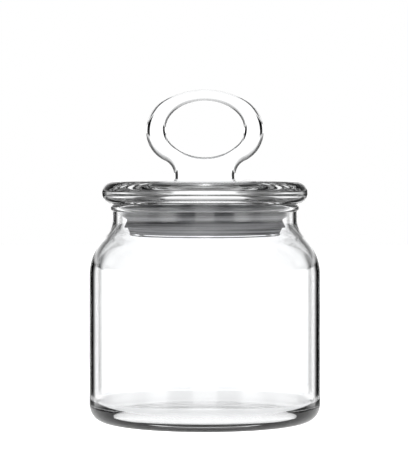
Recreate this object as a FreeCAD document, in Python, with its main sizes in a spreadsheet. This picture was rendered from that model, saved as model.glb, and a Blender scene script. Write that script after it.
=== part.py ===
"""Glass storage jar with a solid glass stopper lid: millimetres, +Z up.

The origin is the centre of the jar's resting plane. The jar is one blown and pressed
glass wall with a pushed-up base, a rounded shoulder and a beaded rim. The lid is one
piece of glass: a disc with a bullnose edge, a hollow plug below and a ring handle above.
A soft finned ring is stretched round the plug and closes against the neck. The lid and
the ring are drawn from the plane of the jar's rim, where the lid sits.
"""

import FreeCAD, Part
import math
import os

import Sketcher
from FreeCAD import Vector

# Driving sizes, as (alias, millimetres). Every other size is worked out from these.
SIZES = [
    # jar
    ("body_radius", 52.0),
    ("jar_height", 97.8),
    ("body_wall", 2.4),
    ("heel_round", 7.0),
    ("rest_width", 2.6),
    ("push_up", 2.0),
    ("floor_height", 5.2),
    ("floor_rise", 0.9),
    ("floor_round", 8.0),
    ("shoulder_height", 24.8),
    ("shoulder_round", 24.0),
    ("neck_radius", 41.55),
    ("neck_height", 7.0),
    ("neck_wall", 2.15),
    ("bead_round", 1.8),
    ("bead_reach", 0.85),
    ("rim_inner_round", 0.8),
    # lid disc and plug
    ("lid_overhang", 3.9),
    ("lid_edge_round", 5.0),
    ("lid_rise", 1.6),
    ("plug_depth", 16.2),
    ("plug_wall", 3.0),
    ("plug_roof", 4.2),
    ("plug_roof_round", 4.0),
    ("plug_edge_round", 0.6),
    ("flange_height", 1.4),
    ("flange_reach", 1.0),
    # ring handle
    ("handle_depth", 10.0),
    ("finger_hole_half_width", 17.6),
    ("finger_hole_half_height", 12.65),
    ("finger_hole_lift", 22.1),
    ("finger_hole_edge_round", 1.8),
    ("ring_top_wall", 5.1),
    ("ring_side_wall", 8.8),
    ("ring_widest_lift", 21.1),
    ("ring_side_round", 16.0),
    ("ring_lower_round", 14.5),
    ("ring_edge_round", 2.8),
    ("foot_half_width", 13.8),
    ("foot_round", 7.0),
    ("foot_sunk", 4.6),
    # seal ring
    ("seal_fit", 0.15),
    ("seal_neck_gap", 0.2),
    ("seal_reach", 6.2),
    ("seal_wall", 1.7),
    ("upper_fin_root", 1.2),
    ("upper_fin_top", 3.2),
    ("upper_fin_tip", 4.4),
    ("upper_fin_end", 7.0),
    ("lower_fin_reach", 3.2),
    ("lower_fin_tip", 11.1),
    ("seal_tail_wall", 0.6),
]

doc = FreeCAD.newDocument("storage_jar")
sheet = doc.addObject("Spreadsheet::Sheet", "sizes")
for row, (alias, value) in enumerate(SIZES, start=1):
    sheet.set(f"A{row}", alias)
    sheet.set(f"B{row}", str(value))
    sheet.setAlias(f"B{row}", alias)
doc.recompute()


def size(alias):
    """A driving size's present value, for the first draft of a sketch."""
    return float(sheet.get(alias))


class Outline:
    """A closed sketch outline of lines and arcs, drawn in order and then dimensioned.

    Points are (across, up) in the sketch's plane. The elements are drafted at their
    right places, and constraints tied to the sheet's cells then hold them there.
    """

    START, END, CENTRE = 1, 2, 3
    ORIGIN = (-1, 1)
    ACROSS_AXIS, UP_AXIS = -1, -2

    def __init__(self, body, name):
        self.sketch = body.newObject("Sketcher::SketchObject", name)
        planes = {feature.Role: feature for feature in body.Origin.OriginFeatures}
        self.sketch.AttachmentSupport = [(planes["XZ_Plane"], "")]
        self.sketch.MapMode = "FlatFace"
        self.ends = {}

    def line(self, start, end):
        """Draws a straight element and returns its number."""
        element = self.sketch.addGeometry(Part.LineSegment(Vector(*start, 0), Vector(*end, 0)), False)
        self.ends[element] = (self.START, self.END)
        return element

    def arc(self, centre, start, end):
        """Draws the shorter arc between two points round a centre and returns its number."""
        radius = math.dist(centre, start)
        from_angle = math.atan2(start[1] - centre[1], start[0] - centre[0])
        to_angle = math.atan2(end[1] - centre[1], end[0] - centre[0])
        turn = (to_angle - from_angle) % (2 * math.pi)
        forward = turn < math.pi
        if not forward:
            from_angle, to_angle = to_angle, from_angle
        circle = Part.Circle(Vector(*centre, 0), Vector(0, 0, 1), radius)
        element = self.sketch.addGeometry(Part.ArcOfCircle(circle, from_angle, to_angle), False)
        self.ends[element] = (self.START, self.END) if forward else (self.END, self.START)
        return element

    def ellipse(self, centre, across, upward):
        """Draws the finger hole's ellipse, wider than it is tall, held by its two diameters."""
        long_end = Vector(centre[0] + across, centre[1], 0)
        short_end = Vector(centre[0], centre[1] + upward, 0)
        shape = Part.Ellipse(long_end, short_end, Vector(*centre, 0))
        element = self.sketch.addGeometry(shape, False)
        self.sketch.exposeInternalGeometry(element)
        long_diameter, short_diameter = element + 1, element + 2
        self.hold("Horizontal", long_diameter)
        return element, long_diameter, short_diameter

    def point(self, place):
        """Draws a construction point and returns its reference."""
        return self.sketch.addGeometry(Part.Point(Vector(*place, 0)), True), self.START

    def hold(self, *terms):
        """Adds a constraint without a size."""
        return self.sketch.addConstraint(Sketcher.Constraint(*terms))

    def corner(self, first, second):
        """Joins the end of one element to the start of the next."""
        self.hold("Coincident", first, self.ends[first][1], second, self.ends[second][0])

    def smooth(self, first, second):
        """Joins the end of one element to the start of the next without a kink."""
        self.hold("Tangent", first, self.ends[first][1], second, self.ends[second][0])

    def start_of(self, element):
        return element, self.ends[element][0]

    def end_of(self, element):
        return element, self.ends[element][1]

    def on(self, axis, point):
        """Puts a point on an axis of the sketch."""
        self.hold("PointOnObject", *point, axis)

    def tie(self, kind, terms, value, formula):
        """Adds a dimension and ties it to the sheet."""
        number = self.hold(kind, *terms, value)
        self.sketch.setExpression(f"Constraints[{number}]", formula)

    def across(self, point, value, formula):
        self.tie("DistanceX", (*self.ORIGIN, *point), value, formula)

    def up(self, point, value, formula):
        if value < 0:
            self.tie("DistanceY", (*point, *self.ORIGIN), -value, f"-({formula})")
        else:
            self.tie("DistanceY", (*self.ORIGIN, *point), value, formula)

    def radius(self, element, value, formula):
        self.tie("Radius", (element,), value, formula)


def toward(start, end, distance):
    """The point at a distance from start, in the direction of end."""
    reach = distance / math.dist(start, end)
    return tuple(a + (b - a) * reach for a, b in zip(start, end))


def revolve(body, outline, name):
    """Turns an outline a full turn about the body's upright axis."""
    feature = body.newObject("PartDesign::Revolution", name)
    feature.Profile = outline.sketch
    feature.ReferenceAxis = (outline.sketch, ["V_Axis"])
    feature.Angle = 360.0
    return feature


def raise_to_rim(piece):
    """Places a piece that is drawn from the rim's plane on top of the jar."""
    piece.setExpression("Placement.Base.z", "sizes.jar_height")


def build_jar():
    """The glass jar, as one revolved wall."""
    body = doc.addObject("PartDesign::Body", "jar_body")
    body.Label = "jar"
    outline = Outline(body, "jar_section")

    outer = size("body_radius")
    height = size("jar_height")
    heel = size("heel_round")
    inner = outer - size("body_wall")
    neck = size("neck_radius")
    bore = neck - size("neck_wall")
    neck_foot = height - size("neck_height")
    shoulder_foot = neck_foot - size("shoulder_height")
    shoulder = size("shoulder_round")
    shoulder_centre = (outer - shoulder, shoulder_foot)
    rise = neck_foot - shoulder_foot

    def neck_curve(radius, shoulder_radius):
        """Radius of the hollow curve from the shoulder's arc up to an upright wall."""
        gap = radius - shoulder_centre[0]
        return (gap**2 + rise**2 - shoulder_radius**2) / (2 * (shoulder_radius - gap))

    rest_outer = (outer - heel, 0)
    rest_inner = (rest_outer[0] - size("rest_width"), 0)
    dome = size("push_up")
    dome_radius = (rest_inner[0] ** 2 + dome**2) / (2 * dome)
    underside = outline.arc((0, dome - dome_radius), (0, dome), rest_inner)
    rest = outline.line(rest_inner, rest_outer)
    heel_arc = outline.arc((outer - heel, heel), rest_outer, (outer, heel))
    wall = outline.line((outer, heel), (outer, shoulder_foot))
    outer_curve = neck_curve(neck, shoulder)
    outer_curve_centre = (neck + outer_curve, neck_foot)
    outer_turn = toward(shoulder_centre, outer_curve_centre, shoulder)
    shoulder_arc = outline.arc(shoulder_centre, (outer, shoulder_foot), outer_turn)
    neck_arc = outline.arc(outer_curve_centre, outer_turn, (neck, neck_foot))
    bead = size("bead_round")
    bead_centre = (neck + size("bead_reach") - bead, height - bead)
    bead_foot = bead_centre[1] - math.sqrt(bead**2 - (bead - size("bead_reach")) ** 2)
    neck_line = outline.line((neck, neck_foot), (neck, bead_foot))
    bead_arc = outline.arc(bead_centre, (neck, bead_foot), (bead_centre[0], height))
    rim_inner = size("rim_inner_round")
    rim = outline.line((bead_centre[0], height), (bore + rim_inner, height))
    rim_arc = outline.arc(
        (bore + rim_inner, height - rim_inner), (bore + rim_inner, height), (bore, height - rim_inner)
    )
    bore_line = outline.line((bore, height - rim_inner), (bore, neck_foot))
    inner_shoulder = shoulder - size("body_wall")
    inner_curve = neck_curve(bore, inner_shoulder)
    inner_curve_centre = (bore + inner_curve, neck_foot)
    inner_turn = toward(shoulder_centre, inner_curve_centre, inner_shoulder)
    bore_arc = outline.arc(inner_curve_centre, (bore, neck_foot), inner_turn)
    inner_shoulder_arc = outline.arc(shoulder_centre, inner_turn, (inner, shoulder_foot))
    corner = size("floor_round")
    corner_centre = (inner - corner, size("floor_height") + corner)
    inner_wall = outline.line((inner, shoulder_foot), (inner, corner_centre[1]))
    crown = (0, size("floor_height") + size("floor_rise"))
    drop = corner_centre[1] - crown[1]
    floor_radius = (corner_centre[0] ** 2 + drop**2 - corner**2) / (2 * (corner - drop))
    floor_centre = (0, crown[1] - floor_radius)
    floor_edge = toward(floor_centre, corner_centre, floor_radius)
    corner_arc = outline.arc(corner_centre, (inner, corner_centre[1]), floor_edge)
    floor = outline.arc(floor_centre, floor_edge, crown)
    axis = outline.line(crown, (0, dome))

    outline.corner(underside, rest)
    outline.smooth(rest, heel_arc)
    outline.smooth(heel_arc, wall)
    outline.smooth(wall, shoulder_arc)
    outline.smooth(shoulder_arc, neck_arc)
    outline.smooth(neck_arc, neck_line)
    outline.corner(neck_line, bead_arc)
    outline.smooth(bead_arc, rim)
    outline.smooth(rim, rim_arc)
    outline.smooth(rim_arc, bore_line)
    outline.smooth(bore_line, bore_arc)
    outline.smooth(bore_arc, inner_shoulder_arc)
    outline.smooth(inner_shoulder_arc, inner_wall)
    outline.smooth(inner_wall, corner_arc)
    outline.smooth(corner_arc, floor)
    outline.corner(floor, axis)
    outline.corner(axis, underside)

    outline.on(outline.UP_AXIS, outline.start_of(axis))
    outline.on(outline.UP_AXIS, outline.end_of(axis))
    outline.on(outline.UP_AXIS, (underside, outline.CENTRE))
    outline.on(outline.UP_AXIS, (floor, outline.CENTRE))
    outline.on(outline.ACROSS_AXIS, outline.start_of(rest))
    outline.on(outline.ACROSS_AXIS, outline.end_of(rest))
    outline.hold("Vertical", wall)
    outline.hold("Vertical", neck_line)
    outline.hold("Vertical", bore_line)
    outline.hold("Vertical", inner_wall)
    outline.hold("Horizontal", rim)
    outline.hold("Coincident", shoulder_arc, outline.CENTRE, inner_shoulder_arc, outline.CENTRE)

    outline.up(outline.end_of(axis), dome, "sizes.push_up")
    outline.tie("Distance", (rest,), size("rest_width"), "sizes.rest_width")
    outline.radius(heel_arc, heel, "sizes.heel_round")
    outline.across(outline.end_of(wall), outer, "sizes.body_radius")
    shoulder_place = "sizes.jar_height - sizes.neck_height - sizes.shoulder_height"
    outline.up(outline.end_of(wall), shoulder_foot, shoulder_place)
    outline.radius(shoulder_arc, shoulder, "sizes.shoulder_round")
    outline.across(outline.end_of(neck_arc), neck, "sizes.neck_radius")
    outline.up(outline.end_of(neck_arc), neck_foot, "sizes.jar_height - sizes.neck_height")
    outline.radius(bead_arc, bead, "sizes.bead_round")
    bead_place = "sizes.neck_radius + sizes.bead_reach - sizes.bead_round"
    outline.across((bead_arc, outline.CENTRE), bead_centre[0], bead_place)
    outline.up(outline.end_of(bead_arc), height, "sizes.jar_height")
    outline.radius(rim_arc, rim_inner, "sizes.rim_inner_round")
    outline.across(outline.start_of(bore_arc), bore, "sizes.neck_radius - sizes.neck_wall")
    outline.up(outline.start_of(bore_arc), neck_foot, "sizes.jar_height - sizes.neck_height")
    outline.across(outline.start_of(inner_wall), inner, "sizes.body_radius - sizes.body_wall")
    outline.radius(corner_arc, corner, "sizes.floor_round")
    corner_place = "sizes.floor_height + sizes.floor_round"
    outline.up(outline.end_of(inner_wall), corner_centre[1], corner_place)
    outline.up(outline.start_of(axis), crown[1], "sizes.floor_height + sizes.floor_rise")

    revolve(body, outline, "jar_turned")
    return body


SEAL_RADIUS = "sizes.neck_radius - sizes.neck_wall - sizes.seal_neck_gap"
PLUG_RADIUS = f"({SEAL_RADIUS} - sizes.seal_reach)"
LID_RADIUS = "(sizes.neck_radius + sizes.bead_reach + sizes.lid_overhang)"
CROWN_HEIGHT = "2 * sizes.lid_edge_round + sizes.lid_rise"


def seal_radius():
    """Reach of the upper fin, just clear of the neck's bore."""
    return size("neck_radius") - size("neck_wall") - size("seal_neck_gap")


def plug_radius():
    """Outside of the plug, where the seal ring is stretched over it."""
    return seal_radius() - size("seal_reach")


def build_lid_disc():
    """The lid's disc with its bullnose edge and the hollow plug, as one revolved wall."""
    body = doc.addObject("PartDesign::Body", "lid_disc")
    outline = Outline(body, "lid_section")

    edge = size("lid_edge_round")
    edge_centre = (size("neck_radius") + size("bead_reach") + size("lid_overhang") - edge, edge)
    crown = (0, 2 * edge + size("lid_rise"))
    drop = crown[1] - edge
    dome_radius = (edge_centre[0] ** 2 + drop**2 - edge**2) / (2 * (drop - edge))
    dome_centre = (0, crown[1] - dome_radius)
    dome_edge = toward(dome_centre, edge_centre, dome_radius)
    plug = plug_radius()
    hollow = plug - size("plug_wall")
    flange = plug + size("flange_reach")
    bottom = -size("plug_depth")
    roof = size("plug_roof")
    roof_round = size("plug_roof_round")
    blunt = size("plug_edge_round")
    seat = bottom + size("flange_height")

    roof_line = outline.line((0, roof), (hollow - roof_round, roof))
    roof_arc = outline.arc(
        (hollow - roof_round, roof - roof_round), (hollow - roof_round, roof), (hollow, roof - roof_round)
    )
    hollow_line = outline.line((hollow, roof - roof_round), (hollow, bottom + blunt))
    inner_arc = outline.arc(
        (hollow + blunt, bottom + blunt), (hollow, bottom + blunt), (hollow + blunt, bottom)
    )
    bottom_line = outline.line((hollow + blunt, bottom), (flange - blunt, bottom))
    flange_arc = outline.arc(
        (flange - blunt, bottom + blunt), (flange - blunt, bottom), (flange, bottom + blunt)
    )
    flange_line = outline.line((flange, bottom + blunt), (flange, seat))
    seat_line = outline.line((flange, seat), (plug, seat))
    plug_line = outline.line((plug, seat), (plug, 0))
    underside = outline.line((plug, 0), (edge_centre[0], 0))
    outer_edge = (edge_centre[0] + edge, edge)
    lower_edge_arc = outline.arc(edge_centre, (edge_centre[0], 0), outer_edge)
    upper_edge_arc = outline.arc(edge_centre, outer_edge, dome_edge)
    dome = outline.arc(dome_centre, dome_edge, crown)
    axis = outline.line(crown, (0, roof))

    outline.smooth(roof_line, roof_arc)
    outline.smooth(roof_arc, hollow_line)
    outline.smooth(hollow_line, inner_arc)
    outline.smooth(inner_arc, bottom_line)
    outline.smooth(bottom_line, flange_arc)
    outline.smooth(flange_arc, flange_line)
    outline.corner(flange_line, seat_line)
    outline.corner(seat_line, plug_line)
    outline.corner(plug_line, underside)
    outline.smooth(underside, lower_edge_arc)
    outline.corner(lower_edge_arc, upper_edge_arc)
    outline.smooth(upper_edge_arc, dome)
    outline.corner(dome, axis)
    outline.corner(axis, roof_line)

    outline.on(outline.UP_AXIS, outline.start_of(axis))
    outline.on(outline.UP_AXIS, outline.end_of(axis))
    outline.on(outline.UP_AXIS, (dome, outline.CENTRE))
    outline.on(outline.ACROSS_AXIS, outline.start_of(underside))
    outline.hold("Horizontal", roof_line)
    outline.hold("Vertical", hollow_line)
    outline.hold("Horizontal", bottom_line)
    outline.hold("Vertical", flange_line)
    outline.hold("Horizontal", seat_line)
    outline.hold("Vertical", plug_line)
    outline.hold("Horizontal", underside)
    outline.hold("Coincident", lower_edge_arc, outline.CENTRE, upper_edge_arc, outline.CENTRE)

    outline.up(outline.end_of(axis), roof, "sizes.plug_roof")
    outline.radius(roof_arc, roof_round, "sizes.plug_roof_round")
    outline.across(outline.end_of(hollow_line), hollow, f"{PLUG_RADIUS} - sizes.plug_wall")
    outline.radius(inner_arc, blunt, "sizes.plug_edge_round")
    outline.up(outline.end_of(bottom_line), bottom, "-sizes.plug_depth")
    outline.radius(flange_arc, blunt, "sizes.plug_edge_round")
    outline.across(outline.end_of(flange_line), flange, f"{PLUG_RADIUS} + sizes.flange_reach")
    outline.up(outline.end_of(flange_line), seat, "-sizes.plug_depth + sizes.flange_height")
    outline.across(outline.start_of(underside), plug, PLUG_RADIUS)
    outline.radius(lower_edge_arc, edge, "sizes.lid_edge_round")
    edge_place = f"{LID_RADIUS} - sizes.lid_edge_round"
    outline.across((lower_edge_arc, outline.CENTRE), edge_centre[0], edge_place)
    outline.up(outline.end_of(lower_edge_arc), edge, "sizes.lid_edge_round")
    outline.up(outline.start_of(axis), crown[1], CROWN_HEIGHT)

    revolve(body, outline, "lid_turned")
    return body


def face_edges(feature, wanted):
    """Names of the edges of a feature's two flat faces that a test picks."""
    half = size("handle_depth") / 2
    names = []
    for number, edge in enumerate(feature.Shape.Edges, start=1):
        middle = edge.valueAt((edge.FirstParameter + edge.LastParameter) / 2)
        ends_flat = all(abs(abs(vertex.Y) - half) < 0.01 for vertex in edge.Vertexes)
        if ends_flat and abs(abs(middle.y) - half) < 0.01 and wanted(edge, middle):
            names.append(f"Edge{number}")
    return names


def round_edges(body, feature, name, alias, wanted):
    """Rounds the chosen edges of the handle's flat faces."""
    doc.recompute()
    fillet = body.newObject("PartDesign::Fillet", name)
    fillet.Base = (feature, face_edges(feature, wanted))
    fillet.setExpression("Radius", f"sizes.{alias}")


def build_ring_handle():
    """The upright ring with its waisted foot, drawn from the disc's crown and sunk into it."""
    body = doc.addObject("PartDesign::Body", "ring_handle")
    body.setExpression("Placement.Base.z", CROWN_HEIGHT)
    outline = Outline(body, "handle_outline")

    across = size("finger_hole_half_width")
    upward = size("finger_hole_half_height")
    hole_centre = (0, size("finger_hole_lift"))
    top = hole_centre[1] + upward + size("ring_top_wall")
    wide = across + size("ring_side_wall")
    widest = size("ring_widest_lift")
    side = size("ring_side_round")
    lower = size("ring_lower_round")
    foot = size("foot_half_width")
    foot_round = size("foot_round")
    root = -size("foot_sunk")

    # The crown arc touches both side arcs from outside, with its centre on the axis.
    side_across = wide - side
    over = top - widest
    crown_radius = (side_across**2 + over**2 - side**2) / (2 * (over - side))
    crown_centre = (0, top - crown_radius)
    lower_across = wide - lower
    waist_across = foot + foot_round
    waist_drop = math.sqrt((lower + foot_round) ** 2 - (waist_across - lower_across) ** 2)
    waist = widest - waist_drop

    def mirrored(point):
        return -point[0], point[1]

    right_crown = toward(crown_centre, (side_across, widest), crown_radius)
    right_turn = toward((lower_across, widest), (waist_across, waist), lower)
    crown = outline.arc(crown_centre, right_crown, mirrored(right_crown))
    left_side = outline.arc((-side_across, widest), mirrored(right_crown), (-wide, widest))
    left_lower = outline.arc((-lower_across, widest), (-wide, widest), mirrored(right_turn))
    left_waist = outline.arc((-waist_across, waist), mirrored(right_turn), (-foot, waist))
    left_foot = outline.line((-foot, waist), (-foot, root))
    root_line = outline.line((-foot, root), (foot, root))
    right_foot = outline.line((foot, root), (foot, waist))
    right_waist = outline.arc((waist_across, waist), (foot, waist), right_turn)
    right_lower = outline.arc((lower_across, widest), right_turn, (wide, widest))
    right_side = outline.arc((side_across, widest), (wide, widest), right_crown)

    outline.smooth(crown, left_side)
    outline.smooth(left_side, left_lower)
    outline.smooth(left_lower, left_waist)
    outline.smooth(left_waist, left_foot)
    outline.corner(left_foot, root_line)
    outline.corner(root_line, right_foot)
    outline.smooth(right_foot, right_waist)
    outline.smooth(right_waist, right_lower)
    outline.smooth(right_lower, right_side)
    outline.smooth(right_side, crown)

    outline.on(outline.UP_AXIS, (crown, outline.CENTRE))
    outline.hold("Vertical", left_foot)
    outline.hold("Vertical", right_foot)
    outline.hold("Symmetric", *outline.start_of(root_line), *outline.end_of(root_line), outline.UP_AXIS)
    outline.hold("Symmetric", *outline.end_of(left_side), *outline.start_of(right_side), outline.UP_AXIS)
    for left, right in ((left_side, right_side), (left_lower, right_lower), (left_waist, right_waist)):
        outline.hold("Equal", left, right)
    outline.hold("Horizontal", left_side, outline.CENTRE, *outline.end_of(left_side))

    wide_formula = "sizes.finger_hole_half_width + sizes.ring_side_wall"
    outline.across(outline.start_of(right_side), wide, wide_formula)
    outline.up(outline.start_of(right_side), widest, "sizes.ring_widest_lift")
    outline.radius(right_side, side, "sizes.ring_side_round")
    outline.radius(right_lower, lower, "sizes.ring_lower_round")
    outline.radius(right_waist, foot_round, "sizes.foot_round")
    outline.across(outline.start_of(right_foot), foot, "sizes.foot_half_width")
    outline.up(outline.start_of(right_foot), root, "-sizes.foot_sunk")
    summit = outline.point((0, top))
    outline.on(outline.UP_AXIS, summit)
    outline.on(crown, summit)
    top_formula = "sizes.finger_hole_lift + sizes.finger_hole_half_height + sizes.ring_top_wall"
    outline.up(summit, top, top_formula)

    pad = body.newObject("PartDesign::Pad", "ring_blank")
    pad.Profile = outline.sketch
    pad.SideType = "Symmetric"
    pad.setExpression("Length", "sizes.handle_depth")

    def of_the_outline(edge, place):
        return place.z > root + 0.01

    round_edges(body, pad, "ring_rounding", "ring_edge_round", of_the_outline)

    hole = Outline(body, "finger_hole_outline")
    ellipse, long_diameter, short_diameter = hole.ellipse(hole_centre, across, upward)
    hole.on(hole.UP_AXIS, (ellipse, hole.CENTRE))
    hole.up((ellipse, hole.CENTRE), hole_centre[1], "sizes.finger_hole_lift")
    hole.tie("Distance", (long_diameter,), 2 * across, "2 * sizes.finger_hole_half_width")
    hole.tie("Distance", (short_diameter,), 2 * upward, "2 * sizes.finger_hole_half_height")
    pocket = body.newObject("PartDesign::Pocket", "finger_hole")
    pocket.Profile = hole.sketch
    pocket.SideType = "Symmetric"
    pocket.setExpression("Length", "2 * sizes.handle_depth")

    def of_the_hole(edge, place):
        return edge.isClosed()

    round_edges(body, pocket, "finger_hole_rounding", "finger_hole_edge_round", of_the_hole)
    return body


def build_lid():
    """The lid: disc, plug and ring handle as one piece of glass."""
    lid = doc.addObject("Part::MultiFuse", "lid_glass")
    lid.Label = "lid"
    lid.Shapes = [build_lid_disc(), build_ring_handle()]
    raise_to_rim(lid)
    return lid


def build_seal_ring():
    """The soft ring round the plug, with two fins that point out and down."""
    body = doc.addObject("PartDesign::Body", "seal_body")
    body.Label = "seal_ring"
    outline = Outline(body, "seal_section")

    bore = plug_radius() + size("seal_fit")
    wall = bore + size("seal_wall")
    upper_tip = seal_radius()
    lower_tip = bore + size("lower_fin_reach")
    tail = bore + size("seal_tail_wall")
    tail_end = size("flange_height") - size("plug_depth")
    bore_formula = f"{PLUG_RADIUS} + sizes.seal_fit"
    wall_formula = f"{bore_formula} + sizes.seal_wall"
    lower_formula = f"{bore_formula} + sizes.lower_fin_reach"
    corners = [
        (bore, 0, bore_formula, "0"),
        (wall, 0, wall_formula, "0"),
        (wall, -size("upper_fin_root"), wall_formula, "-sizes.upper_fin_root"),
        (upper_tip, -size("upper_fin_top"), SEAL_RADIUS, "-sizes.upper_fin_top"),
        (upper_tip, -size("upper_fin_tip"), SEAL_RADIUS, "-sizes.upper_fin_tip"),
        (wall, -size("upper_fin_end"), wall_formula, "-sizes.upper_fin_end"),
        (lower_tip, -size("lower_fin_tip"), lower_formula, "-sizes.lower_fin_tip"),
        (wall, -size("lower_fin_tip"), wall_formula, "-sizes.lower_fin_tip"),
        (tail, tail_end, f"{bore_formula} + sizes.seal_tail_wall", "sizes.flange_height - sizes.plug_depth"),
        (bore, tail_end, bore_formula, "sizes.flange_height - sizes.plug_depth"),
    ]
    lines = []
    for here, following in zip(corners, corners[1:] + corners[:1]):
        lines.append(outline.line(here[:2], following[:2]))
    for first, second in zip(lines, lines[1:] + lines[:1]):
        outline.corner(first, second)
    for line, (across, up, across_formula, up_formula) in zip(lines, corners):
        outline.across(outline.start_of(line), across, across_formula)
        if up:
            outline.up(outline.start_of(line), up, up_formula)
        else:
            outline.on(outline.ACROSS_AXIS, outline.start_of(line))

    revolve(body, outline, "seal_turned")
    raise_to_rim(body)
    return body


def check(pieces):
    """Stops before anything is written if any object failed or a piece is not one solid."""
    for thing in doc.Objects:
        if {"Invalid", "Error"} & set(thing.State):
            raise RuntimeError(f"{thing.Label}: {thing.State}")
    for piece in pieces:
        shape = piece.Shape
        if shape.isNull() or not shape.isValid() or len(shape.Solids) != 1:
            raise RuntimeError(f"{piece.Label} is not one valid solid")


pieces = [build_jar(), build_lid(), build_seal_ring()]
doc.recompute()
check(pieces)
os.makedirs("parts", exist_ok=True)
for piece in pieces:
    piece.Shape.exportStep(f"parts/{piece.Label}.step")
    print(f"{piece.Label}: {piece.Shape.Volume:.0f} cubic mm")
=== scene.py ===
"""Looks of the glass storage jar: clear jar, stopper lid with its ring handle, soft seal ring.

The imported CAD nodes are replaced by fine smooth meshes, because glass shows every facet.
They keep the CAD's outer forms above the heel. The heel, resting ring, push-up and floor
lie up to 1.3 mm from it, and the plug's hollow is domed. The sizes below are in millimetres,
and the scene is in metres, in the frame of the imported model.
"""

import math

import bmesh
import bpy
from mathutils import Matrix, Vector


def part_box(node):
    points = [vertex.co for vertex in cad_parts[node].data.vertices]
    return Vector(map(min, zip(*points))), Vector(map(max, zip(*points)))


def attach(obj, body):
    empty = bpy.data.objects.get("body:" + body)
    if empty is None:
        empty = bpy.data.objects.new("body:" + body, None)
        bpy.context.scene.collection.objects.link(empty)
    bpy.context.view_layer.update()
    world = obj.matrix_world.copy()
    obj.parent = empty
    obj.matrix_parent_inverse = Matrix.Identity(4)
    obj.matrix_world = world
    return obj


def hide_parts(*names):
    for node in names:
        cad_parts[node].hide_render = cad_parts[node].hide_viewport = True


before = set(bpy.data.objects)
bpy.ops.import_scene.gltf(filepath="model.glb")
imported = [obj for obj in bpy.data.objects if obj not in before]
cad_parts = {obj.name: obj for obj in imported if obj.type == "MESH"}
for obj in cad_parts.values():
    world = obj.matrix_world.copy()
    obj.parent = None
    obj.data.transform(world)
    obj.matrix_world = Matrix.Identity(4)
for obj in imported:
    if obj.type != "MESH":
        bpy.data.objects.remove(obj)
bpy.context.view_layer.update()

MM = 0.001
TURN_STEPS = 256
ARC_STEP = math.radians(3.0)
LINE_STEP = 2.0
QUARTER_STEP = 10
ON_AXIS = 1e-6
SHARP_ANGLE = math.radians(28)

# Sizes in millimetres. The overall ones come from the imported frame.
_, jar_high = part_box("jar")
_, lid_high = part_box("lid")
BODY_RADIUS = jar_high.x / MM
JAR_HEIGHT = jar_high.z / MM
LID_RADIUS = lid_high.x / MM

BODY_WALL = 2.4
HEEL_ROUND = 7.5
REST_WIDTH = 2.0
PUSH_UP = 2.5
FLOOR_HEIGHT = 4.6
FLOOR_RISE = 0.9
FLOOR_ROUND = 6.0
SHOULDER_HEIGHT = 24.8
SHOULDER_ROUND = 24.0
NECK_RADIUS = 41.55
NECK_HEIGHT = 7.0
NECK_WALL = 2.15
BEAD_ROUND = 1.8
BEAD_REACH = 0.85
RIM_INNER_ROUND = 0.8

LID_EDGE_ROUND = 5.0
LID_RISE = 1.6
CROWN_HEIGHT = JAR_HEIGHT + 2 * LID_EDGE_ROUND + LID_RISE
PLUG_DEPTH = 16.2
PLUG_RADIUS = 33.0
PLUG_WALL = 3.0
PLUG_ROOF = 4.2
PLUG_ROOF_ROUND = 14.0
PLUG_EDGE_ROUND = 0.6
FLANGE_HEIGHT = 1.4
FLANGE_REACH = 1.0

HANDLE_DEPTH = 10.0
HOLE_HALF_WIDTH = 17.6
HOLE_HALF_HEIGHT = 12.65
HOLE_LIFT = 22.1
HOLE_EDGE_ROUND = 1.8
RING_TOP_WALL = 5.1
RING_SIDE_WALL = 8.8
RING_WIDEST_LIFT = 21.1
RING_SIDE_ROUND = 16.0
RING_LOWER_ROUND = 14.5
RING_EDGE_ROUND = 2.8
FOOT_HALF_WIDTH = 13.8
FOOT_ROUND = 7.0
FOOT_SUNK = 4.6
FOOT_CORNER_ROUND = 3.2

SEAL_FIT = 0.15
SEAL_TIP_RADIUS = 39.2
SEAL_WALL = 1.7
UPPER_FIN_ROOT = 1.2
UPPER_FIN_TOP = 3.2
UPPER_FIN_TIP = 4.4
UPPER_FIN_END = 7.0
LOWER_FIN_REACH = 3.2
LOWER_FIN_TIP = 11.1
SEAL_TAIL_WALL = 0.6
SEAL_SOFTEN = 0.25

# Glass: ripples are (how many to a metre, height in metres).
GLASS_TINT = (0.985, 0.99, 0.995, 1)
GLASS_INDEX = 1.52
JAR_RIPPLE = (60, 0.00002)
LID_RIPPLE = (120, 0.00003)

# Seal: painted light and shade, as light and dark bands that are long round the ring and fine along
# its height.
SEAL_ROUGHNESS = 0.35
SEAL_INDEX = 1.45
PAINTED_BAND_SCALE = (4, 4, 520)
PAINTED_BAND_STOPS = (0.44, 0.56)
PAINTED_SHADE_COLOUR = (0.2, 0.2, 0.21, 1)
PAINTED_HIGHLIGHT_COLOUR = (0.96, 0.96, 0.98, 1)

# Surroundings: (degrees, brightness) stops, through which brightness runs. The first four go
# round the horizon from front to side, and the last two go up and down from the horizon.
BELT = (
    (0, 1.25), (10.5, 1.25), (13, 0.0), (30, 0.0), (35, 0.5), (40, 1.8),
    (50, 1.8), (58, 1.2), (62, 0.7), (73, 0.7), (77, 1.15),
)
BANDS = ((0, 1.18), (15, 1.18), (20, 0.6), (33, 0.6), (40, 0.4), (46, 0.1), (75, 0.1), (80, 0.6))
SIDES = ((0, 1.0), (15, 1.0), (20, 0.35), (29, 0.25), (46, 0.05), (76, 0.05), (80, 0.3))
GROUND = ((0, 1.25), (15, 1.25), (19, 0.1), (31, 0.1), (35, 1.25), (55, 1.25), (59, 0.1))
SKY = ((9, 1.1), (11, 0.8), (18, 0.5), (24, 0.3), (68, 0.3), (74, 2.0))
DEPTH = ((9, 1.0), (17, 1.0), (20, 0.82), (26, 0.86), (38, 0.78))
STOPS_SPAN = 90.0
STOPS_PEAK = 2.0

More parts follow.
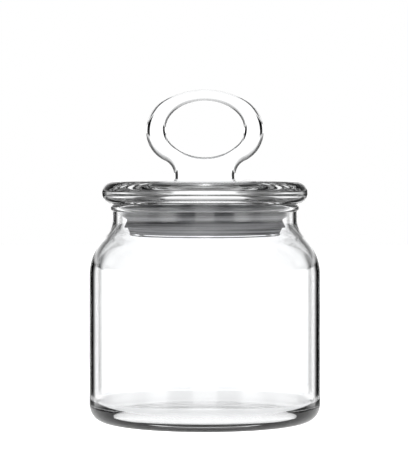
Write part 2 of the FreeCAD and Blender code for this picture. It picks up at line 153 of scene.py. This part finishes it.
# Soft edges of the zones in degrees, each given as (where it is 0, where it is 1).
BELT_DROP = 1.0
BELT_EDGE = (6.0, 5.0)
BANDS_INNER_EDGE = (4.5, 6.0)
BANDS_OUTER_EDGE = (10.0, 8.5)
SKY_EDGE = (8.5, 10.0)
HORIZON_EDGE = (-1.0, 1.0)
GROUND_EDGE = (-9.0, -11.0)

# Floor and camera, in metres.
DISC_SIDES = 96
DISC_COLOUR = (0.8, 0.8, 0.8, 1)
DISC_ROUGHNESS = 0.6
FLOOR_RADIUS = 3.0
FLOOR_LEVEL = -0.0003
FLOOR_GLOW = 1.0
PANEL_RADIUS = 0.085
PANEL_LEVEL = -0.0002
PANEL_GLOW = 0.86
LENS = 156.6
CAMERA_DISTANCE = 0.902
CAMERA_ACROSS = -0.00039
AIM_HEIGHT = 0.0861


def line_points(start, end):
    """Points along a straight stretch, without its end."""
    count = max(1, round(math.dist(start, end) / LINE_STEP))
    return [tuple(a + (b - a) * k / count for a, b in zip(start, end)) for k in range(count)]


def arc_points(centre, start, end):
    """Points along the shorter arc round a centre, without its end."""
    radius = math.dist(centre, start)
    first = math.atan2(start[1] - centre[1], start[0] - centre[0])
    last = math.atan2(end[1] - centre[1], end[0] - centre[0])
    turn = (last - first + math.pi) % (2 * math.pi) - math.pi
    count = max(2, math.ceil(abs(turn) / ARC_STEP), round(abs(turn) * radius / LINE_STEP))
    angles = [first + turn * k / count for k in range(count)]
    return [(centre[0] + radius * math.cos(a), centre[1] + radius * math.sin(a)) for a in angles]


def toward(start, end, distance):
    """The point at a distance from start, in the direction of end."""
    reach = distance / math.dist(start, end)
    return tuple(a + (b - a) * reach for a, b in zip(start, end))


def jar_section():
    """Half section of the jar, from the underside's centre round to the floor's centre."""
    outer = BODY_RADIUS
    inner = outer - BODY_WALL
    bore = NECK_RADIUS - NECK_WALL
    neck_foot = JAR_HEIGHT - NECK_HEIGHT
    shoulder_foot = neck_foot - SHOULDER_HEIGHT
    shoulder_centre = (outer - SHOULDER_ROUND, shoulder_foot)

    def neck_curve(radius, shoulder_radius):
        gap = radius - shoulder_centre[0]
        return (gap**2 + SHOULDER_HEIGHT**2 - shoulder_radius**2) / (2 * (shoulder_radius - gap))

    rest_outer = (outer - HEEL_ROUND, 0)
    rest_inner = (rest_outer[0] - REST_WIDTH, 0)
    dome_radius = (rest_inner[0] ** 2 + PUSH_UP**2) / (2 * PUSH_UP)
    outer_curve_centre = (NECK_RADIUS + neck_curve(NECK_RADIUS, SHOULDER_ROUND), neck_foot)
    outer_turn = toward(shoulder_centre, outer_curve_centre, SHOULDER_ROUND)
    bead_centre = (NECK_RADIUS + BEAD_REACH - BEAD_ROUND, JAR_HEIGHT - BEAD_ROUND)
    bead_foot = bead_centre[1] - math.sqrt(BEAD_ROUND**2 - (BEAD_ROUND - BEAD_REACH) ** 2)
    rim_edge = bore + RIM_INNER_ROUND
    rim_foot = JAR_HEIGHT - RIM_INNER_ROUND
    inner_shoulder = SHOULDER_ROUND - BODY_WALL
    inner_curve_centre = (bore + neck_curve(bore, inner_shoulder), neck_foot)
    inner_turn = toward(shoulder_centre, inner_curve_centre, inner_shoulder)
    corner_centre = (inner - FLOOR_ROUND, FLOOR_HEIGHT + FLOOR_ROUND)
    crown = (0, FLOOR_HEIGHT + FLOOR_RISE)
    drop = corner_centre[1] - crown[1]
    floor_radius = (corner_centre[0] ** 2 + drop**2 - FLOOR_ROUND**2) / (2 * (FLOOR_ROUND - drop))
    floor_centre = (0, crown[1] - floor_radius)
    floor_edge = toward(floor_centre, corner_centre, floor_radius)

    points = arc_points((0, PUSH_UP - dome_radius), (0, PUSH_UP), rest_inner)
    points += line_points(rest_inner, rest_outer)
    points += arc_points((rest_outer[0], HEEL_ROUND), rest_outer, (outer, HEEL_ROUND))
    points += line_points((outer, HEEL_ROUND), (outer, shoulder_foot))
    points += arc_points(shoulder_centre, (outer, shoulder_foot), outer_turn)
    points += arc_points(outer_curve_centre, outer_turn, (NECK_RADIUS, neck_foot))
    points += line_points((NECK_RADIUS, neck_foot), (NECK_RADIUS, bead_foot))
    points += arc_points(bead_centre, (NECK_RADIUS, bead_foot), (bead_centre[0], JAR_HEIGHT))
    points += line_points((bead_centre[0], JAR_HEIGHT), (rim_edge, JAR_HEIGHT))
    points += arc_points((rim_edge, rim_foot), (rim_edge, JAR_HEIGHT), (bore, rim_foot))
    points += line_points((bore, rim_foot), (bore, neck_foot))
    points += arc_points(inner_curve_centre, (bore, neck_foot), inner_turn)
    points += arc_points(shoulder_centre, inner_turn, (inner, shoulder_foot))
    points += line_points((inner, shoulder_foot), (inner, corner_centre[1]))
    points += arc_points(corner_centre, (inner, corner_centre[1]), floor_edge)
    points += arc_points(floor_centre, floor_edge, crown)
    points.append(crown)
    return points


def lid_section():
    """Half section of the disc and plug, from the crown round to the hollow's roof."""
    seat = JAR_HEIGHT
    edge_centre = (LID_RADIUS - LID_EDGE_ROUND, seat + LID_EDGE_ROUND)
    crown = (0, CROWN_HEIGHT)
    drop = crown[1] - edge_centre[1]
    dome_radius = edge_centre[0] ** 2 + drop**2 - LID_EDGE_ROUND**2
    dome_radius /= 2 * (drop - LID_EDGE_ROUND)
    dome_centre = (0, crown[1] - dome_radius)
    dome_edge = toward(dome_centre, edge_centre, dome_radius)
    hollow = PLUG_RADIUS - PLUG_WALL
    flange = PLUG_RADIUS + FLANGE_REACH
    bottom = seat - PLUG_DEPTH
    ledge = bottom + FLANGE_HEIGHT
    blunt = PLUG_EDGE_ROUND
    outer_blunt = (flange - blunt, bottom + blunt)
    inner_blunt = (hollow + blunt, bottom + blunt)
    roof = seat + PLUG_ROOF
    roof_centre = (hollow - PLUG_ROOF_ROUND, roof - PLUG_ROOF_ROUND)
    outer_edge = (LID_RADIUS, edge_centre[1])
    under_edge = (edge_centre[0], seat)

    points = arc_points(dome_centre, crown, dome_edge)
    points += arc_points(edge_centre, dome_edge, outer_edge)
    points += arc_points(edge_centre, outer_edge, under_edge)
    points += line_points(under_edge, (PLUG_RADIUS, seat))
    points += line_points((PLUG_RADIUS, seat), (PLUG_RADIUS, ledge))
    points += line_points((PLUG_RADIUS, ledge), (flange, ledge))
    points += line_points((flange, ledge), (flange, outer_blunt[1]))
    points += arc_points(outer_blunt, (flange, outer_blunt[1]), (outer_blunt[0], bottom))
    points += line_points((outer_blunt[0], bottom), (inner_blunt[0], bottom))
    points += arc_points(inner_blunt, (inner_blunt[0], bottom), (hollow, inner_blunt[1]))
    points += line_points((hollow, inner_blunt[1]), (hollow, roof_centre[1]))
    points += arc_points(roof_centre, (hollow, roof_centre[1]), (roof_centre[0], roof))
    points += line_points((roof_centre[0], roof), (0, roof))
    points.append((0, roof))
    return points


def seal_section():
    """Half section of the seal ring, a closed loop with softened corners."""
    seat = JAR_HEIGHT
    bore = PLUG_RADIUS + SEAL_FIT
    wall = bore + SEAL_WALL
    tail = bore + SEAL_TAIL_WALL
    end = seat - PLUG_DEPTH + FLANGE_HEIGHT
    corners = [
        (bore, seat),
        (wall, seat),
        (wall, seat - UPPER_FIN_ROOT),
        (SEAL_TIP_RADIUS, seat - UPPER_FIN_TOP),
        (SEAL_TIP_RADIUS, seat - UPPER_FIN_TIP),
        (wall, seat - UPPER_FIN_END),
        (bore + LOWER_FIN_REACH, seat - LOWER_FIN_TIP),
        (wall, seat - LOWER_FIN_TIP),
        (tail, end),
        (bore, end),
    ]
    points = []
    count = len(corners)
    for k, corner in enumerate(corners):
        following = corners[(k + 1) % count]
        before = toward(corner, corners[k - 1], SEAL_SOFTEN)
        after = toward(corner, following, SEAL_SOFTEN)
        # halfway between the corner and the middle of its cut
        middle = tuple((a + b) / 4 + c / 2 for a, b, c in zip(before, after, corner))
        points += [before, middle]
        points += line_points(after, toward(following, corner, SEAL_SOFTEN))
    return points


def smooth(mesh):
    """Shades a mesh smooth, with its true corners sharp."""
    mesh.polygons.foreach_set("use_smooth", [True] * len(mesh.polygons))
    mesh.set_sharp_from_angle(angle=SHARP_ANGLE)


def finish_mesh(bm, name):
    """Turns a bmesh into a smooth object whose true corners stay sharp."""
    bmesh.ops.recalc_face_normals(bm, faces=bm.faces)
    mesh = bpy.data.meshes.new(name)
    bm.to_mesh(mesh)
    bm.free()
    smooth(mesh)
    piece = bpy.data.objects.new(name, mesh)
    bpy.context.scene.collection.objects.link(piece)
    return piece


def lathe(name, section, closed=False):
    """Turns a section about the upright axis. Open sections start and end on the axis."""
    bm = bmesh.new()
    angles = [2 * math.pi * k / TURN_STEPS for k in range(TURN_STEPS)]
    rings = []
    for across, up in section:
        if across < ON_AXIS:
            rings.append([bm.verts.new((0, 0, up * MM))])
            continue
        radius = across * MM
        spots = [(radius * math.cos(angle), radius * math.sin(angle), up * MM) for angle in angles]
        rings.append([bm.verts.new(spot) for spot in spots])
    pairs = list(zip(rings, rings[1:]))
    if closed:
        pairs.append((rings[-1], rings[0]))
    for first, second in pairs:
        for k in range(TURN_STEPS):
            following = (k + 1) % TURN_STEPS
            corners = [first[k % len(first)], first[following % len(first)]]
            corners += [second[following % len(second)], second[k % len(second)]]
            bm.faces.new(list(dict.fromkeys(corners)))
    return finish_mesh(bm, name)


def handle_outline():
    """The ring handle's outline, closed and anticlockwise, with its foot inside the disc."""
    top = CROWN_HEIGHT + HOLE_LIFT + HOLE_HALF_HEIGHT + RING_TOP_WALL
    wide = HOLE_HALF_WIDTH + RING_SIDE_WALL
    widest = CROWN_HEIGHT + RING_WIDEST_LIFT
    side_across = wide - RING_SIDE_ROUND
    over = top - widest
    crown_radius = (side_across**2 + over**2 - RING_SIDE_ROUND**2) / (2 * (over - RING_SIDE_ROUND))
    crown_centre = (0, top - crown_radius)
    lower_across = wide - RING_LOWER_ROUND
    waist_across = FOOT_HALF_WIDTH + FOOT_ROUND
    reach = RING_LOWER_ROUND + FOOT_ROUND
    waist = widest - math.sqrt(reach**2 - (waist_across - lower_across) ** 2)
    root = CROWN_HEIGHT - FOOT_SUNK
    turn = toward((lower_across, widest), (waist_across, waist), RING_LOWER_ROUND)
    shoulder = toward(crown_centre, (side_across, widest), crown_radius)
    corner = (FOOT_HALF_WIDTH - FOOT_CORNER_ROUND, root + FOOT_CORNER_ROUND)

    right = line_points((0, root), (corner[0], root))
    right += arc_points(corner, (corner[0], root), (FOOT_HALF_WIDTH, corner[1]))
    right += line_points((FOOT_HALF_WIDTH, corner[1]), (FOOT_HALF_WIDTH, waist))
    right += arc_points((waist_across, waist), (FOOT_HALF_WIDTH, waist), turn)
    right += arc_points((lower_across, widest), turn, (wide, widest))
    right += arc_points((side_across, widest), (wide, widest), shoulder)
    right += arc_points(crown_centre, shoulder, (0, top))
    left = [(-across, up) for across, up in reversed(right[1:])]
    return right + [(0, top)] + left


def outline_normals(points):
    """Unit vectors that point out of an anticlockwise outline, one for each point."""
    normals = []
    for k, point in enumerate(points):
        before, after = points[k - 1], points[(k + 1) % len(points)]
        along = Vector((after[0] - before[0], after[1] - before[1])).normalized()
        normals.append(Vector((along.y, -along.x)))
    return normals


def ring_handle(name):
    """The handle: a closed band between its outline and the finger hole, with rounded edges."""
    outline = handle_outline()
    centre_up = CROWN_HEIGHT + HOLE_LIFT
    half = HANDLE_DEPTH / 2
    turns = [math.radians(QUARTER_STEP * k) for k in range(90 // QUARTER_STEP + 1)]

    def rounded(edge, into, radius):
        """A long edge's quarter round at the back, then the same at the front."""
        back = []
        for turn in turns:
            place = edge + into * radius * (1 - math.sin(turn))
            back.append((place, -half + radius * (1 - math.cos(turn))))
        return back + [(place, -depth) for place, depth in reversed(back)]

    bm = bmesh.new()
    loops = []
    for point, outward in zip(outline, outline_normals(outline)):
        angle = math.atan2(point[1] - centre_up, point[0])
        across, upward = math.cos(angle) * HOLE_HALF_HEIGHT, math.sin(angle) * HOLE_HALF_WIDTH
        angle = math.atan2(upward, across)
        across, upward = math.cos(angle), math.sin(angle)
        hole = Vector((HOLE_HALF_WIDTH * across, centre_up + HOLE_HALF_HEIGHT * upward))
        inward = Vector((HOLE_HALF_HEIGHT * across, HOLE_HALF_WIDTH * upward)).normalized()
        loop = rounded(Vector(point), -outward, RING_EDGE_ROUND)
        loop += [(place, -depth) for place, depth in rounded(hole, inward, HOLE_EDGE_ROUND)]
        spots = [(place.x * MM, depth * MM, place.y * MM) for place, depth in loop]
        loops.append([bm.verts.new(spot) for spot in spots])
    for k, loop in enumerate(loops):
        following = loops[(k + 1) % len(loops)]
        for i in range(len(loop)):
            j = (i + 1) % len(loop)
            bm.faces.new((loop[i], loop[j], following[j], following[i]))
    return finish_mesh(bm, name)


def united(piece, other):
    """Joins another closed mesh to a piece as one solid, and removes the other."""
    joint = piece.modifiers.new("join", "BOOLEAN")
    joint.operation = "UNION"
    joint.solver = "EXACT"
    joint.object = other
    graph = bpy.context.evaluated_depsgraph_get()
    mesh = bpy.data.meshes.new_from_object(piece.evaluated_get(graph))
    piece.modifiers.clear()
    old = piece.data
    piece.data = mesh
    bpy.data.meshes.remove(old)
    bpy.data.objects.remove(other)
    smooth(mesh)
    return piece


def new_material(name):
    """An empty node material with its output and Principled shader."""
    material = bpy.data.materials.new(name)
    material.use_nodes = True
    nodes = material.node_tree.nodes
    return material, nodes, material.node_tree.links, nodes["Principled BSDF"]


def glass_material(name, ripple_scale, ripple_height):
    """Clear soda-lime glass with a faint ripple left by the mould."""
    material, nodes, links, shader = new_material(name)
    shader.inputs["Base Color"].default_value = GLASS_TINT
    shader.inputs["Roughness"].default_value = 0.0
    shader.inputs["IOR"].default_value = GLASS_INDEX
    shader.inputs["Transmission Weight"].default_value = 1.0
    place = nodes.new("ShaderNodeTexCoord")
    ripple = nodes.new("ShaderNodeTexNoise")
    ripple.inputs["Scale"].default_value = ripple_scale
    ripple.inputs["Detail"].default_value = 1.0
    bump = nodes.new("ShaderNodeBump")
    bump.inputs["Strength"].default_value = 1.0
    bump.inputs["Distance"].default_value = ripple_height
    links.new(place.outputs["Object"], ripple.inputs["Vector"])
    links.new(ripple.outputs["Fac"], bump.inputs["Height"])
    links.new(bump.outputs["Normal"], shader.inputs["Normal"])
    return material


def seal_material(name):
    """Milky grey plastic with painted light and shade: light and dark bands round the ring."""
    material, nodes, links, shader = new_material(name)
    shader.inputs["Roughness"].default_value = SEAL_ROUGHNESS
    shader.inputs["IOR"].default_value = SEAL_INDEX
    place = nodes.new("ShaderNodeTexCoord")
    flatten = nodes.new("ShaderNodeVectorMath")
    flatten.operation = "MULTIPLY"
    flatten.inputs[1].default_value = PAINTED_BAND_SCALE
    painted_bands = nodes.new("ShaderNodeTexNoise")
    painted_bands.inputs["Scale"].default_value = 1.0
    painted_bands.inputs["Detail"].default_value = 2.0
    # painted light and shade: the ramp cuts the noise into painted highlight and painted shade bands
    tone = nodes.new("ShaderNodeValToRGB")
    dark, light = tone.color_ramp.elements
    dark.position, light.position = PAINTED_BAND_STOPS
    dark.color, light.color = PAINTED_SHADE_COLOUR, PAINTED_HIGHLIGHT_COLOUR
    links.new(place.outputs["Object"], flatten.inputs[0])
    links.new(flatten.outputs[0], painted_bands.inputs["Vector"])
    links.new(painted_bands.outputs["Fac"], tone.inputs["Fac"])
    links.new(tone.outputs["Color"], shader.inputs["Base Color"])
    return material


def dress(piece, material, slot, *nodes):
    """Gives a piece its material, hangs it under the root body and hides the CAD nodes it stands
    for.
    """
    piece.data.materials.clear()
    piece.data.materials.append(material)
    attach(piece, "root")
    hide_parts(*nodes)


def build_world():
    """Bright windows with dark gaps between them, which draw the black lines of clear glass.

    A belt lies along the horizon, with a band above and below it, then the sky and the ground.
    All are mirrored at every quarter turn. The camera itself sees pure white.
    """
    world = bpy.data.worlds.new("studio")
    bpy.context.scene.world = world
    world.use_nodes = True
    nodes, links = world.node_tree.nodes, world.node_tree.links
    background = nodes["Background"]

    def maths(operation, *values):
        node = nodes.new("ShaderNodeMath")
        node.operation = operation
        for socket, value in zip(node.inputs, values):
            if isinstance(value, (int, float)):
                socket.default_value = value
            else:
                links.new(value, socket)
        return node.outputs[0]

    def product(first, *others):
        for other in others:
            first = maths("MULTIPLY", first, other)
        return first

    def step(value, low, high):
        """Rises from 0 at low to 1 at high, or falls where low is the larger."""
        node = nodes.new("ShaderNodeMapRange")
        node.interpolation_type = "SMOOTHSTEP"
        node.clamp = True
        links.new(value, node.inputs["Value"])
        node.inputs["From Min"].default_value = min(low, high)
        node.inputs["From Max"].default_value = max(low, high)
        node.inputs["To Min"].default_value = float(low > high)
        node.inputs["To Max"].default_value = float(low < high)
        return node.outputs["Result"]

    def ramp(angle, stops):
        """Brightness that runs through (degrees, brightness) stops."""
        node = nodes.new("ShaderNodeValToRGB")
        links.new(maths("DIVIDE", angle, STOPS_SPAN), node.inputs["Fac"])
        elements = node.color_ramp.elements
        while len(elements) < len(stops):
            elements.new(1.0)
        for element, (at, bright) in zip(elements, stops):
            share = bright / STOPS_PEAK
            element.position = at / STOPS_SPAN
            element.color = (share, share, share, 1)
        return maths("MULTIPLY", node.outputs["Color"], STOPS_PEAK)

    place = nodes.new("ShaderNodeTexCoord")
    split = nodes.new("ShaderNodeSeparateXYZ")
    links.new(place.outputs["Generated"], split.inputs[0])
    across, away, up = split.outputs
    azimuth = maths("MULTIPLY", maths("ARCTAN2", across, away), 180 / math.pi)
    elevation = maths("MULTIPLY", maths("ARCSINE", up), 180 / math.pi)
    folded = maths("PINGPONG", azimuth, STOPS_SPAN)
    off_belt = maths("ABSOLUTE", maths("ADD", elevation, BELT_DROP))
    off_level = maths("ABSOLUTE", elevation)
    belt = product(ramp(folded, BELT), step(off_belt, *BELT_EDGE))
    inner_edge, outer_edge = step(off_belt, *BANDS_INNER_EDGE), step(off_belt, *BANDS_OUTER_EDGE)
    bands = product(ramp(folded, BANDS), inner_edge, outer_edge)
    over_horizon = step(elevation, *HORIZON_EDGE)
    sky = product(ramp(folded, SIDES), step(off_belt, *SKY_EDGE), ramp(elevation, SKY), over_horizon)
    ground = product(ramp(folded, GROUND), step(elevation, *GROUND_EDGE), ramp(off_level, DEPTH))
    level = maths("MAXIMUM", maths("MAXIMUM", belt, bands), maths("MAXIMUM", sky, ground))
    path = nodes.new("ShaderNodeLightPath")
    seen = nodes.new("ShaderNodeMix")
    seen.data_type = "FLOAT"
    links.new(path.outputs["Is Camera Ray"], seen.inputs[0])
    links.new(level, seen.inputs[2])
    seen.inputs[3].default_value = 1.0
    links.new(seen.outputs[0], background.inputs["Strength"])
    background.inputs["Color"].default_value = (1, 1, 1, 1)


def build_floor():
    """A white floor that only the camera sees, and a small light panel that it doesn't see."""

    def disc(name, radius, height, glow):
        bm = bmesh.new()
        bmesh.ops.create_circle(bm, cap_ends=True, radius=radius, segments=DISC_SIDES)
        bmesh.ops.translate(bm, verts=bm.verts, vec=(0, 0, height))
        mesh = bpy.data.meshes.new(name)
        bm.to_mesh(mesh)
        bm.free()
        piece = bpy.data.objects.new(name, mesh)
        bpy.context.scene.collection.objects.link(piece)
        material, _, _, shader = new_material(name)
        shader.inputs["Base Color"].default_value = DISC_COLOUR
        shader.inputs["Roughness"].default_value = DISC_ROUGHNESS
        shader.inputs["Emission Color"].default_value = (1, 1, 1, 1)
        shader.inputs["Emission Strength"].default_value = glow
        mesh.materials.append(material)
        piece.visible_shadow = False
        piece.visible_volume_scatter = False
        return piece

    floor = disc("white_floor", FLOOR_RADIUS, FLOOR_LEVEL, FLOOR_GLOW)
    floor.visible_diffuse = False
    floor.visible_glossy = False
    floor.visible_transmission = False
    panel = disc("light_panel", PANEL_RADIUS, PANEL_LEVEL, PANEL_GLOW)
    panel.visible_camera = False


def build_camera():
    """A long lens, level with the lid's edge and turned a little down."""
    data = bpy.data.cameras.new("camera")
    data.lens = LENS
    camera = bpy.data.objects.new("camera", data)
    bpy.context.scene.collection.objects.link(camera)
    eye = Vector((CAMERA_ACROSS, -CAMERA_DISTANCE, (JAR_HEIGHT + LID_EDGE_ROUND) * MM))
    aim = Vector((CAMERA_ACROSS, 0, AIM_HEIGHT))
    camera.location = eye
    camera.rotation_mode = "QUATERNION"
    camera.rotation_quaternion = (aim - eye).to_track_quat("-Z", "Y")
    bpy.context.scene.camera = camera


def render_settings():
    """Plain tone curve and enough bounces for nested glass walls."""
    scene = bpy.context.scene
    scene.view_settings.view_transform = "Standard"
    scene.cycles.max_bounces = 9
    scene.cycles.transmission_bounces = 9
    scene.cycles.glossy_bounces = 6
    scene.cycles.diffuse_bounces = 4
    scene.cycles.transparent_max_bounces = 16
    scene.cycles.caustics_refractive = True
    scene.cycles.caustics_reflective = True
    scene.cycles.use_denoising = True


jar = lathe("jar_glass_wall", jar_section())
lid = united(lathe("lid_glass_body", lid_section()), ring_handle("ring_handle"))
seal = lathe("finned_seal_ring", seal_section(), closed=True)
dress(jar, glass_material("blown_glass", *JAR_RIPPLE), "jar_glass", "jar")
dress(lid, glass_material("pressed_glass", *LID_RIPPLE), "lid_glass", "lid")
dress(seal, seal_material("milky_plastic"), "seal", "seal_ring")
build_world()
build_floor()
build_camera()
render_settings()
